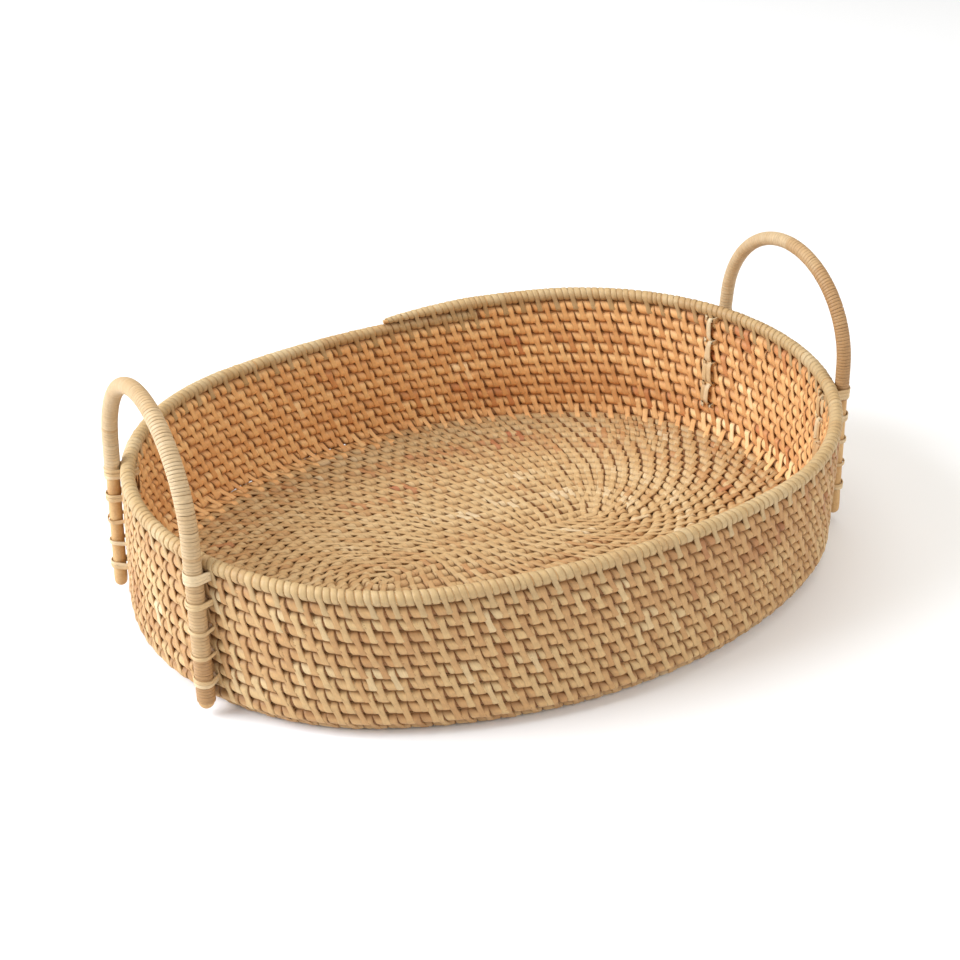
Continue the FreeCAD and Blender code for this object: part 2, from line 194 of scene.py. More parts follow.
class Strips:
    """Collects strips of peel, each a crowned band along a path, into one mesh."""

    def __init__(self):
        self.points = []
        self.faces = []
        self.marks = []
        self.shades = []
        self.count = 0

    def add(self, path, normal, side, width, height, tone, shade, profile=CROWNED):
        """path, normal, side: (strips, steps, 3). width, height, tone: (strips,) or (strips, steps)."""
        strips, steps, _ = path.shape
        many = len(profile)
        width = np.broadcast_to(np.reshape(width, (strips, -1)), (strips, steps))
        height = np.broadcast_to(np.reshape(height, (strips, -1)), (strips, steps))
        across = profile[:, 0] * 0.5
        lift = profile[:, 1]
        grid = (path[:, :, None, :]
                + side[:, :, None, :] * (width[:, :, None] * across)[..., None]
                + normal[:, :, None, :] * (height[:, :, None] * lift)[..., None])
        length = np.concatenate([np.zeros((strips, 1)),
                                 np.cumsum(np.linalg.norm(np.diff(path, axis=1), axis=2), axis=1)], axis=1)
        marks = np.zeros((strips, steps, many, 3))
        marks[..., 0] = across + 0.5
        marks[..., 1] = length[:, :, None] + rng.uniform(0, 400, (strips, 1, 1))
        marks[..., 2] = np.reshape(tone, (strips, 1, 1))
        shade = np.broadcast_to(np.asarray(shade), (strips, steps))
        first = self.count + (np.arange(strips) * steps * many)[:, None, None]
        step = (np.arange(steps - 1) * many)[None, :, None]
        here = np.arange(many)[None, None, :]
        there = (here + 1) % many
        quads = np.stack([first + step + here, first + step + there,
                          first + step + many + there, first + step + many + here], -1)
        starts = first[:, 0, 0][:, None]
        ends = starts + (steps - 1) * many
        caps = np.concatenate([starts + np.array([[0, 5, 4, 1]]), starts + np.array([[1, 4, 3, 2]]),
                               ends + np.array([[0, 1, 4, 5]]), ends + np.array([[1, 2, 3, 4]])])
        self.points.append(grid.reshape(-1, 3))
        self.faces += [quads.reshape(-1, 4), caps]
        self.marks.append(marks.reshape(-1, 3))
        self.shades.append(np.repeat(shade.reshape(-1), many))
        self.count += strips * steps * many

    def make(self, name, material, nodes):
        points = np.concatenate(self.points) * MM
        faces = np.concatenate(self.faces).astype(np.int32)
        mesh = bpy.data.meshes.new(name)
        mesh.vertices.add(len(points))
        mesh.vertices.foreach_set("co", points.astype(np.float32).ravel())
        mesh.loops.add(faces.size)
        mesh.loops.foreach_set("vertex_index", faces.ravel())
        mesh.polygons.add(len(faces))
        mesh.polygons.foreach_set("loop_start", np.arange(0, faces.size, 4, dtype=np.int32))
        mesh.polygons.foreach_set("use_smooth", np.ones(len(faces), bool))
        mesh.update(calc_edges=True)
        mesh.validate()
        strip = mesh.attributes.new("strip", "FLOAT_VECTOR", "POINT")
        strip.data.foreach_set("vector", np.concatenate(self.marks).astype(np.float32).ravel())
        # Weight of the painted shade in the grooves between turns, at each point.
        hollow_shade = mesh.attributes.new("hollow_shade", "FLOAT", "POINT")
        hollow_shade.data.foreach_set("value", np.concatenate(self.shades).astype(np.float32))
        mesh.materials.append(material)
        piece = bpy.data.objects.new(name, mesh)
        bpy.context.scene.collection.objects.link(piece)
        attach(piece, "root")
        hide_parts(*nodes)


ACCENT_SHARE = 0.009            # of the stitches are of reddish peel
ACCENT_DROP = 0.28
TONE_BETA = (7.0, 5.6)
TONE_ENDS = (0.02, 0.98)


def strand_tones(count, low=14, high=34, spread=0.11):
    """One tone for each length of peel, which lasts low to high stitches, and a small change at each."""
    tones = np.zeros(count)
    place = 0
    while place < count:
        run = int(rng.integers(low, high))
        tones[place:place + run] = rng.beta(*TONE_BETA)
        place += run
    tones += rng.normal(0, spread, count)
    tones[rng.random(count) < ACCENT_SHARE] -= ACCENT_DROP
    return np.clip(tones, *TONE_ENDS)


# ------------------------------------------------------------------ where the stitches are
BASE_STITCH = 8.1               # spacing of the long stitches at the start, in mm
WALL_STITCH = 12.85
WIDEST_LONG = 4.7
BASE_GROWTH = 2.6               # by which the spacing grows over the base
UNEVENNESS = 0.05               # of the spacing
NARROWEST_GAP = 0.6             # of the spacing; a stitch nearer than this is left out
WIDE_GAP = (1.3, 1.65)          # of the spacing; past it another stitch is put between
PEEL_LONG = 0.95                # thickness of the long stitches
PEEL_SHORT = 0.9
SINK = 1.05                     # by which the peel's underside lies below the bound coil's surface
SINK_BELOW = 0.78               # the same, where a long stitch goes round the turn below


def brick_stitches(first, last, spacing, growth):
    """Turns at which the long stitches stand, each halfway between two of the turn before."""
    found = list(turn_at(np.arange(run_at(first), run_at(first + 1.0), spacing)))
    place = 0
    while found[place] < found[-1] - 1.0:
        place += 1
    while True:
        target = (found[place] + found[place + 1]) / 2 + 1.0
        place += 1
        if target > last:
            break
        gap = run_at(target) - run_at(found[-1])
        local = spacing + growth * (target - first) / (last - first)
        if gap < NARROWEST_GAP * local:
            continue
        if gap > rng.uniform(*WIDE_GAP) * local:
            found.append(float(turn_at((run_at(target) + run_at(found[-1])) / 2)))
        found.append(target)
    return np.array(found)


def loosened(stitches, spacing):
    """The same stitches, each a little off its even place."""
    runs = run_at(stitches) + rng.normal(0, UNEVENNESS * spacing, len(stitches))
    return np.clip(turn_at(np.sort(runs)), 0, TOTAL_TURNS)


base_stitches = loosened(brick_stitches(0.0, WALL_START, BASE_STITCH, BASE_GROWTH), BASE_STITCH)
wall_stitches = loosened(brick_stitches(WALL_START + 0.004, TOTAL_TURNS, WALL_STITCH, 0.0), WALL_STITCH)


def groove_shade_of(sine, top_open):
    """How deep in the grooves between turns a point of a winding lies, from 0 to 1: the weight of the painted
    shade there.
    """
    depth = np.clip((np.abs(sine) - 0.62) / 0.36, 0, 1) ** 1.3
    return np.where((sine > 0) & top_open, 0.0, depth)


def around_coil(turn, angle, radius):
    """Points on the coil's surface, and normals. The angle is from the outside face to the turn above."""
    face = table(FACE, turn)
    away = table(AWAY, turn)
    normal = unit(face * np.cos(angle)[..., None] + away * np.sin(angle)[..., None])
    return table(CENTRES, turn) + normal * radius[..., None], normal


WINDING_STEPS = 17
WINDING_DRIFT = 1.04            # of its width, by which a winding moves along the coil


def add_windings(strips, turns, widths, tones, profile):
    """Short stitches: each goes once round its own turn of the coil."""
    psi = np.linspace(0, 2 * math.pi, WINDING_STEPS)
    angle = np.broadcast_to(math.pi * 1.5 - psi, (len(turns), WINDING_STEPS))
    drift = widths[:, None] * (psi / (2 * math.pi) - 0.5)[None, :] * WINDING_DRIFT
    turn = np.clip(turns[:, None] + drift / pace_at(turns)[:, None], 0, TOTAL_TURNS)
    radius = table(RADII, turn) - SINK
    path, normal = around_coil(turn, angle, radius)
    side = table(TANGENTS, turn)
    open_top = np.broadcast_to((turns > RIM_START)[:, None], angle.shape)
    strips.add(path, normal, side, widths * rng.uniform(0.93, 1.03, len(turns)),
               PEEL_SHORT * rng.uniform(0.9, 1.08, len(turns)), tones,
               groove_shade_of(np.sin(angle), open_top), profile)


# Stations of a long stitch: (share of the way to the turn below, angle).
# They go up the inside, over the top and down the outside.
LONG_PATH = np.array(
    [(1.0, math.radians(a)) for a in (282, 258, 234, 212, 192)]
    + [(0.76, math.pi), (0.5, math.pi), (0.24, math.pi)]
    + [(0.0, math.radians(a)) for a in (168, 145, 118, 90, 62, 35, 12)]
    + [(0.24, 0.0), (0.5, 0.0), (0.76, 0.0)]
    + [(1.0, math.radians(a)) for a in (-12, -32, -54, -78, -102)])
TOP_STATION = 11                # the one at the very top
TOP_SLOPE = 0.25                # drift along the coil over its top, for each mm of height
NARROW_FROM, NARROW_TO = 4.4, 7.0   # widths between which a stitch is drawn in on the turn below


def add_long_stitches(strips, turns, widths, tones, slope, deepest, profile):
    """Long stitches: each goes round its own turn and the turn before it."""
    below = LONG_PATH[None, :, 0]
    angle = np.broadcast_to(LONG_PATH[None, :, 1], (len(turns), len(LONG_PATH)))
    reach = np.linalg.norm(table(CENTRES, turns) - table(CENTRES, neighbour(turns)), axis=1)[:, None]
    radius_here = table(RADII, turns)[:, None] - SINK
    depth = reach * below - radius_here * np.sin(angle)
    steep = (slope * rng.normal(1.0, 0.10, len(turns)))[:, None]
    drift = np.where(depth < 0, TOP_SLOPE * (depth + radius_here), TOP_SLOPE * radius_here + steep * depth)
    outside = (np.arange(len(LONG_PATH)) > TOP_STATION)[None, :]
    drift = np.where(outside, drift, -drift)
    turn = np.clip(turns[:, None] + drift / pace_at(turns)[:, None], 0, TOTAL_TURNS)
    lower = neighbour(turn)
    face = table(FACE, turn)
    away = table(AWAY, turn)
    normal = unit(face * np.cos(angle)[..., None] + away * np.sin(angle)[..., None])
    centre = table(CENTRES, turn) * (1 - below)[..., None] + table(CENTRES, lower) * below[..., None]
    over = table(RADII, lower) - SINK_BELOW
    radius = radius_here * (1 - below) + over * below
    sag = deepest * np.sin(math.pi * below)
    path = centre + normal * (radius - sag)[..., None]
    side = table(TANGENTS, turn)
    sine = np.sin(angle)
    # Painted shade: in the grooves between turns, and where the stitch sags into the valley.
    groove_shade = np.where(below == 0, groove_shade_of(np.maximum(sine, 0), turn > RIM_START),
                      np.where(below == 1, groove_shade_of(np.minimum(sine, 0), False),
                               0.45 * deepest * np.sin(math.pi * below)))
    narrow = np.clip(widths[:, None], NARROW_FROM, NARROW_TO) / NARROW_FROM - 1
    pinch = 1 - 0.2 * np.sin(math.pi * below) + (0.05 - 0.6 * narrow) * below
    strips.add(path, normal, side, (widths * rng.uniform(0.9, 1.05, len(turns)))[:, None] * pinch,
               (PEEL_LONG * rng.uniform(0.9, 1.1, len(turns)))[:, None] * np.ones_like(pinch), tones, groove_shade,
               profile)


# Turns between which light shows through the gap.
OPEN_GAPS = ((19.30, 19.34), (19.42, 19.44), (20.27, 20.30), (20.33, 20.352), (20.44, 20.452))
PACKING_STEP = 1 / 240


def add_packing(strips, first, last):
    """The squeezed peel in the gap between a turn and the one before: light comes through at OPEN_GAPS. It
    carries the full painted shade of the grooves.
    """
    turn = np.arange(max(first, 1.0), last + 0.0001, PACKING_STEP)
    cuts = [0]
    for start, stop in OPEN_GAPS:
        cuts += [int(np.searchsorted(turn, start)), int(np.searchsorted(turn, stop))]
    cuts = sorted(cuts + [len(turn)])
    for start, stop in zip(cuts[0::2], cuts[1::2]):
        here = turn[start:stop]
        if len(here) < 2:
            continue
        path = (table(CENTRES, here) + table(CENTRES, here - 1)) / 2 - table(AWAY, here) * 0.45
        strips.add(path[None], table(AWAY, here)[None], table(FACE, here)[None], np.array([3.0]),
                   np.array([0.9]), np.array([0.3]), np.ones((1, 1)))


FIRST_LONG = 0.52               # turns; before this there is no turn to reach back to


def stitch_length(strips, stitches, first, last, shorts, long_share, slope, sag, tones_of, profile, overlap):
    """All the stitching of one length of the coil.

    shorts is the number of short stitches after each long one, long_share the long one's share of the gap,
    and overlap the width of a short one against its place.
    """
    inside = np.where((stitches >= first) & (stitches < last))[0]
    here = stitches[inside]
    following = np.where(inside + 1 < len(stitches), stitches[np.minimum(inside + 1, len(stitches) - 1)],
                         here + (here - stitches[np.maximum(inside - 1, 0)]))
    gap = run_at(following) - run_at(here)
    tones = tones_of[inside]
    long_width = np.minimum(gap * long_share, WIDEST_LONG)
    width = (gap - long_width) / shorts
    reaching = here > FIRST_LONG
    add_long_stitches(strips, here[reaching], np.clip(long_width[reaching] * 1.06, 2.4, 6.4), tones[reaching],
                      slope, sag, profile)
    for number in range(shorts):
        place = turn_at(run_at(here) + long_width / 2 + width * (number + 0.5))
        good = place < TOTAL_TURNS - 0.0005
        tone = np.clip(tones + rng.normal(0, 0.05, len(tones)), *TONE_ENDS)
        add_windings(strips, place[good], width[good] * overlap, tone[good], profile)
    add_packing(strips, first, last)
    if not reaching.all():
        start = ~reaching
        add_windings(strips, here[start], long_width[start], tones[start], profile)


# ------------------------------------------------------------------ materials
def srgb(*rgb):
    """Linear colour of an sRGB one from 0 to 255."""
    return tuple((c / 255 / 12.92) if c / 255 < 0.04045 else ((c / 255 + 0.055) / 1.055) ** 2.4
                 for c in rgb) + (1.0,)


class Nodes:
    """Short hand for building a material's nodes."""

    def __init__(self, name):
        self.material = bpy.data.materials.new(name)
        self.material.use_nodes = True
        self.tree = self.material.node_tree
        self.shader = self.tree.nodes["Principled BSDF"]

    def add(self, kind, inputs=None, **settings):
        node = self.tree.nodes.new(kind)
        for key, value in settings.items():
            setattr(node, key, value)
        for key, value in (inputs or {}).items():
            if isinstance(value, bpy.types.NodeSocket):
                self.tree.links.new(value, node.inputs[key])
            else:
                node.inputs[key].default_value = value
        return node

    def math(self, operation, *values, clamp=False):
        node = self.add("ShaderNodeMath", dict(enumerate(values)), operation=operation, use_clamp=clamp)
        return node.outputs[0]

    def mix(self, factor, one, other, blend="MIX"):
        node = self.add("ShaderNodeMix", {0: factor, 6: one, 7: other}, data_type="RGBA", blend_type=blend)
        return node.outputs[2]

    def ramp(self, value, stops):
        node = self.add("ShaderNodeValToRGB", {0: value})
        ramp = node.color_ramp
        while len(ramp.elements) < len(stops):
            ramp.elements.new(0.5)
        for element, (place, colour) in zip(ramp.elements, stops):
            element.position = place
            element.color = colour
        return node.outputs[0]

    def link(self, socket, name):
        self.tree.links.new(socket, self.shader.inputs[name])


FIBRE = 0.5                     # contrast of the lengthwise fibres
# painted shade along the edges of each strip, where neighbouring strips meet
EDGE_SHADE = 0.24
NO_TINT = (1.0, 1.0, 1.0, 1.0)
OVAL_X, OVAL_Y = 0.23, 0.165    # the rim's half sizes in metres


def peel_material(name, stops, groove_shade, roughness, patches=0.25, depth=0.56, inside_light=NO_TINT):
    """Split peel: one tone a stitch, lengthwise fibres, and painted shade: dimmed edges where strips meet,
    and dark grooves between the turns.

    The tint for what faces the middle of the tray is painted light: it brightens and warms that side.
    """
    n = Nodes(name)
    strip = n.add("ShaderNodeAttribute", attribute_name="strip").outputs["Vector"]
    hollow_shade = n.add("ShaderNodeAttribute", attribute_name="hollow_shade").outputs["Fac"]
    parts = n.add("ShaderNodeSeparateXYZ", {0: strip})
    across, along, tone = parts.outputs
    coords = n.add("ShaderNodeTexCoord").outputs["Object"]
    patch = n.add("ShaderNodeTexNoise", {"Vector": coords, "Scale": 26.0, "Detail": 3.0}).outputs["Fac"]
    shift = n.math("MULTIPLY", n.math("SUBTRACT", patch, 0.5), patches)
    base = n.ramp(n.math("ADD", tone, shift, clamp=True), stops)
    offset = n.math("MULTIPLY", tone, 91.0)
    lines = n.add("ShaderNodeCombineXYZ", {
        0: n.math("MULTIPLY", across, 9.0), 1: n.math("MULTIPLY", along, 0.16), 2: offset}).outputs[0]
    streak = n.add("ShaderNodeTexNoise", {"Vector": lines, "Scale": 1.0, "Detail": 4.0,
                                          "Roughness": 0.62}).outputs["Fac"]
    streak = n.math("SUBTRACT", streak, 0.5)
    blots = n.add("ShaderNodeCombineXYZ", {
        0: n.math("MULTIPLY", across, 1.6), 1: n.math("MULTIPLY", along, 0.35), 2: offset}).outputs[0]
    spots = n.add("ShaderNodeTexNoise", {"Vector": blots, "Scale": 1.0, "Detail": 2.0}).outputs["Fac"]
    spots = n.math("ADD", n.math("MULTIPLY", n.math("SUBTRACT", spots, 0.5), 0.35), 1.0)
    bright = n.math("ADD", n.math("MULTIPLY", streak, FIBRE), 1.0)
    bright = n.math("MULTIPLY", bright, spots)
    # Painted shade: dimmer towards each strip's edges.
    edge = n.math("MULTIPLY", n.math("ABSOLUTE", n.math("SUBTRACT", across, 0.5)), 2.0)
    edge = n.math("POWER", edge, 5.0)
    bright = n.math("MULTIPLY", bright, n.math("SUBTRACT", 1.0, n.math("MULTIPLY", edge, EDGE_SHADE)))
    grey = n.add("ShaderNodeCombineColor", {0: bright, 1: bright, 2: bright}).outputs[0]
    colour = n.mix(1.0, base, grey, "MULTIPLY")
    # Painted shade: the peel is darkened towards its shade colour where it lies deep between the turns.
    dark = n.math("MULTIPLY", hollow_shade, depth, clamp=True)
    colour = n.mix(dark, colour, groove_shade)
    # Painted light: the peel facing the middle of the tray is brightened and warmed.
    if inside_light != NO_TINT:
        place = n.add("ShaderNodeSeparateXYZ", {0: coords}).outputs
        facing = n.add("ShaderNodeSeparateXYZ", {0: n.add("ShaderNodeTexCoord").outputs["Normal"]}).outputs
        inward = n.math("ADD", n.math("MULTIPLY", n.math("MULTIPLY", place[0], 1 / OVAL_X), facing[0]),
                        n.math("MULTIPLY", n.math("MULTIPLY", place[1], 1 / OVAL_Y), facing[1]))
        inward = n.math("ADD", n.math("MULTIPLY", inward, -2.0), 0.5, clamp=True)
        colour = n.mix(inward, colour, n.mix(1.0, colour, inside_light, "MULTIPLY"))
    n.link(colour, "Base Color")
    n.shader.inputs["Roughness"].default_value = roughness
    n.shader.inputs["Specular IOR Level"].default_value = 0.35
    bump = n.add("ShaderNodeBump", {"Strength": 0.35, "Distance": 0.00025, "Height": streak})
    n.link(bump.outputs[0], "Normal")
    return n.material


def cane_material(name, dark, light, roughness):
    """Round cane: fine grain and patchy colour."""
    n = Nodes(name)
    coords = n.add("ShaderNodeTexCoord").outputs["Object"]
    bands = n.add("ShaderNodeMapping", {"Vector": coords, "Scale": (0.5, 0.5, 1.0)}).outputs[0]
    patch = n.add("ShaderNodeTexNoise", {"Vector": bands, "Scale": 60.0, "Detail": 5.0}).outputs["Fac"]
    grain = n.add("ShaderNodeTexNoise", {"Vector": coords, "Scale": 900.0, "Detail": 3.0}).outputs["Fac"]
    value = n.math("ADD", n.math("MULTIPLY", patch, 0.65), n.math("MULTIPLY", grain, 0.35))
    n.link(n.ramp(value, [(0.3, dark), (0.7, light)]), "Base Color")
    n.shader.inputs["Roughness"].default_value = roughness
    n.shader.inputs["Specular IOR Level"].default_value = 0.3
    bump = n.add("ShaderNodeBump", {"Strength": 0.3, "Distance": 0.0002, "Height": grain})
    n.link(bump.outputs[0], "Normal")
    return n.material


# Painted shade: the colours that the peel is darkened towards deep in the grooves between turns; each peel
# below takes one as its third argument.
WALL_GROOVE_SHADE = srgb(140, 94, 56)
BASE_GROOVE_SHADE = srgb(146, 104, 62)
# Painted light: the wall peel's last tint, above one, brightens and warms the inside of the tray.
wall_peel = peel_material("wall_peel", [
    (0.0, srgb(165, 108, 68)), (0.22, srgb(183, 137, 88)), (0.5, srgb(197, 155, 104)),
    (0.8, srgb(206, 172, 121)), (1.0, srgb(215, 190, 147))], WALL_GROOVE_SHADE, 0.55, inside_light=(1.48, 1.4, 1.33, 1.0))
base_peel = peel_material("base_peel", [
    (0.0, srgb(179, 114, 77)), (0.2, srgb(189, 144, 96)), (0.5, srgb(198, 163, 114)),
    (0.8, srgb(207, 176, 129)), (1.0, srgb(216, 192, 153))], BASE_GROOVE_SHADE, 0.55, depth=0.45)
rim_peel = peel_material("rim_peel", [
    (0.0, srgb(160, 104, 68)), (0.3, srgb(180, 142, 96)), (0.7, srgb(190, 159, 112)),
    (1.0, srgb(201, 176, 135))], WALL_GROOVE_SHADE, 0.5, patches=0.3)
handle_peel = peel_material("handle_peel", [
    (0.0, srgb(173, 132, 87)), (0.3, srgb(190, 156, 112)), (0.7, srgb(200, 172, 132)),
    (1.0, srgb(208, 186, 152))], srgb(94, 60, 31), 0.5, patches=0.15)
tie_peel = peel_material("tie_peel", [
    (0.0, srgb(170, 106, 70)), (0.3, srgb(194, 153, 105)), (0.6, srgb(208, 176, 129)),
    (1.0, srgb(221, 198, 160))], srgb(99, 63, 33), 0.5, patches=0.2)
# Painted shade: the core cane, seen only in the gaps between turns, is dark brown, while the handle cane is
# pale.
core_cane = cane_material("core_cane", srgb(104, 66, 36), srgb(156, 110, 68), 0.7)
handle_cane = cane_material("handle_cane", srgb(182, 132, 78), srgb(220, 184, 130), 0.5)

# ------------------------------------------------------------------ stitched pieces
PALE_START = RIM_START - 0.055  # where the pale peel of the rim takes over, under the rim's thinned end
WALL_TURNS = 11                 # below the rim
BASE_ENDS = (0.0, 4.0, 7.0, 10.0, 12.5, 14.75, 17.0, WALL_START)
base_tones = strand_tones(len(base_stitches))
wall_tones = strand_tones(len(wall_stitches))
rim_tones = 0.35 + 0.6 * strand_tones(len(wall_stitches), 3, 9, 0.12)
for number, (first, last) in enumerate(zip(BASE_ENDS, BASE_ENDS[1:]), start=1):
    work = Strips()
    stitch_length(work, base_stitches, first, last, shorts=1, long_share=0.58, slope=0.5, sag=0.5,
                  tones_of=base_tones, profile=FLATTER, overlap=1.1)
    work.make(f"base_{number:02d}_stitches", base_peel, [f"base_{number:02d}_binding"])
for number in range(1, WALL_TURNS + 1):
    work = Strips()
    first = WALL_START + number - 1
    stitch_length(work, wall_stitches, first, min(first + 1, PALE_START), shorts=1, long_share=0.36,
                  slope=0.43, sag=0.45, tones_of=wall_tones, profile=FLATTER, overlap=1.1)
    work.make(f"wall_{number:02d}_stitches", wall_peel, [f"wall_{number:02d}_binding"])
rim = Strips()
stitch_length(rim, wall_stitches, PALE_START, TOTAL_TURNS, shorts=2, long_share=0.32, slope=0.36, sag=0.45,
              tones_of=rim_tones, profile=CROWNED, overlap=1.02)
rim.make("rim_stitches", rim_peel, ["rim_binding"])

for name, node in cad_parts.items():
    if name.endswith("_cane"):
        node.data.materials.clear()
        node.data.materials.append(core_cane if name.startswith(("base", "wall")) else handle_cane)

# ------------------------------------------------------------------ handles
PLANE_X = 226.0                 # the handles' planes, in mm either side of the middle
HOOP_RADIUS = 64.5
HOOP_CENTRE = 109.0
SPLAY = math.radians(3.8)
FOOT = 9.6
LEG_RADII = {"left": (5.5, 4.8), "right": (4.8, 4.5)}    # over the winding, front leg and rear leg
BARE_TOP = 90.0                 # below this the winding stops on every leg but the left front one
END_MARGIN = 0.8                # between a foot's end and the winding
WRAP_WIDTH, WRAP_SPREAD, WRAP_RANGE = 2.1, 0.24, (1.5, 2.8)
WRAP_SINK = 0.85
WRAP_STEPS = 21
FRONT_LEG_SHADE = 0.45                   # by which the tone is lowered on the front side of the handles, where the winding looks browner: painted shade
KNEE_Y = HOOP_RADIUS * math.cos(SPLAY)
KNEE_Z = HOOP_CENTRE + HOOP_RADIUS * math.sin(SPLAY)
LEG_RUN = (KNEE_Z - FOOT) / math.cos(SPLAY)
HOOP_LENGTH = 2 * LEG_RUN + HOOP_RADIUS * (math.pi - 2 * SPLAY)


def hoop_points(run):
    """Points (y, z) and headings at lengths from the front foot."""
    mirrored = run > HOOP_LENGTH / 2
    near = np.where(mirrored, HOOP_LENGTH - run, run)
    back = LEG_RUN - near
    on_leg = back > 0
    angle = math.pi - SPLAY + back / HOOP_RADIUS
    y = np.where(on_leg, -KNEE_Y - back * math.sin(SPLAY), HOOP_RADIUS * np.cos(angle))
    z = np.where(on_leg, KNEE_Z - back * math.cos(SPLAY), HOOP_CENTRE + HOOP_RADIUS * np.sin(angle))
    heading_y = np.where(on_leg, math.sin(SPLAY), np.sin(angle))
    heading_z = np.where(on_leg, math.cos(SPLAY), -np.cos(angle))
    flip = np.where(mirrored, -1.0, 1.0)
    return y * flip, z, heading_y, heading_z * flip


def wind_handle(side):
    """Narrow peel wound turn by turn round a handle."""
    sign = 1 if side == "right" else -1
    front, rear = LEG_RADII[side]
    places = []
    widths = []
    run = END_MARGIN
    while run < HOOP_LENGTH - END_MARGIN:
        width = float(np.clip(rng.normal(WRAP_WIDTH, WRAP_SPREAD), *WRAP_RANGE))
        places.append(run + width / 2)
        widths.append(width)
        run += width
    places = np.array(places)
    widths = np.array(widths)
    bare_run = (BARE_TOP - FOOT) / math.cos(SPLAY)
    kept = places < HOOP_LENGTH - bare_run
    if side == "right":
        kept &= places > bare_run
    places = places[kept]
    widths = widths[kept]
    psi = np.linspace(0, 2 * math.pi, WRAP_STEPS)
    along = places[:, None] + widths[:, None] * (psi / (2 * math.pi) - 0.5)[None, :]
    along = np.clip(along, 0, HOOP_LENGTH)
    y, z, heading_y, heading_z = hoop_points(along)
    radius = front + (rear - front) * along / HOOP_LENGTH - WRAP_SINK
    out = np.stack([np.zeros_like(y), -heading_z, heading_y], -1)
    plane = np.zeros_like(out)
    plane[..., 0] = 1.0
    turning = psi[None, :] + (math.pi if sign > 0 else 0)
    normal = plane * np.cos(turning)[..., None] * -sign + out * np.sin(turning)[..., None]
    centre = np.stack([np.full_like(y, sign * PLANE_X), y, z], -1)
    heading = np.stack([np.zeros_like(y), heading_y, heading_z], -1)
    strips = Strips()
    height = rng.uniform(0.77, 0.83, len(places))
    tones = strand_tones(len(places), 10, 30, 0.05)
    # Painted shade: a lower tone on the front half of the right handle, and on the left front leg below
    # BARE_TOP.
    shaded_legs = y[:, 0] < 0 if side == "right" else (y[:, 0] < 0) & (z[:, 0] < BARE_TOP)
    strips.add(centre + normal * radius[..., None], normal, heading,
               widths * rng.uniform(1.02, 1.08, len(places)), height,
               np.clip(tones - FRONT_LEG_SHADE * shaded_legs, *TONE_ENDS), np.zeros((1, 1)), FLATTER)
    strips.make(f"{side}_handle_winding", handle_peel, [f"{side}_handle_wrap"])


for side in ("left", "right"):
    wind_handle(side)

# ------------------------------------------------------------------ lashings
LASHING_TURNS = (3, 2, 1, 1, 2) # of each lashing of a leg, from the top
TURN_PITCH = 2.55               # from one turn of a lashing to the next
TIE_HEIGHT = 0.68
THROUGH_WALL = 4.9              # how far a lashing goes into the gap past its middle
FACE_GAP = 2.6                  # from the gap's middle to the inside of the wall
# Stations from the gap to the leg: share of the reach, sideways in leg radii, lift in mm, share of the level.
TO_LEG = ((1.0, 0.45, -0.3, 0.35), (1.0, 1.0, -0.15, 0.35), (0.5, 1.02, 0.2, 0.8))
UP = np.array([0.0, 0.0, 1.0])


def leg_y(height):
    return KNEE_Y + (KNEE_Z - height) * math.tan(SPLAY)


def wall_gaps(plane_x, y):
    """Points in the gaps between neighbouring turns of the wall behind a leg, from the rim down."""
    fractions = np.arange(2000) / 2000
    ring = table(CENTRES, 25 + fractions)
    fraction = fractions[np.argmin(np.hypot(ring[:, 0] - plane_x, ring[:, 1] - y))]
    turns = math.floor(TOTAL_TURNS - fraction) + fraction - np.arange(11)
    return (table(CENTRES, turns) + table(CENTRES, turns - 1)) / 2


def smooth_path(points, steps):
    """A path of evenly spread points through corners that it rounds a little."""
    points = np.array(points, float)
    for _ in range(2):
        ends = points[:1], points[-1:]
        near = points[:-1] * 0.75 + points[1:] * 0.25
        far = points[:-1] * 0.25 + points[1:] * 0.75
        points = np.concatenate([ends[0], np.stack([near, far], 1).reshape(-1, 3), ends[1]])
    run = np.concatenate([[0], np.cumsum(np.linalg.norm(np.diff(points, axis=0), axis=1))])
    places = np.linspace(0, run[-1], steps)
    return np.stack([np.interp(places, run, points[:, axis]) for axis in range(3)], -1)


def lay_strand(strips, points, outward, width, height, tone, steps):
    """One strand of peel along a path, its broad face towards outward: one vector, or one for each point."""
    path = smooth_path(points, steps)
    heading = unit(np.gradient(path, axis=0))
    outward = smooth_path(outward, steps) if np.ndim(outward) == 2 else np.broadcast_to(outward, path.shape)
    side = unit(np.cross(heading, outward))
    normal = unit(np.cross(side, heading))
    strips.add(path[None], normal[None], side[None], np.array([width]), np.array([height]), np.array([tone]),
               np.zeros((1, 1)))


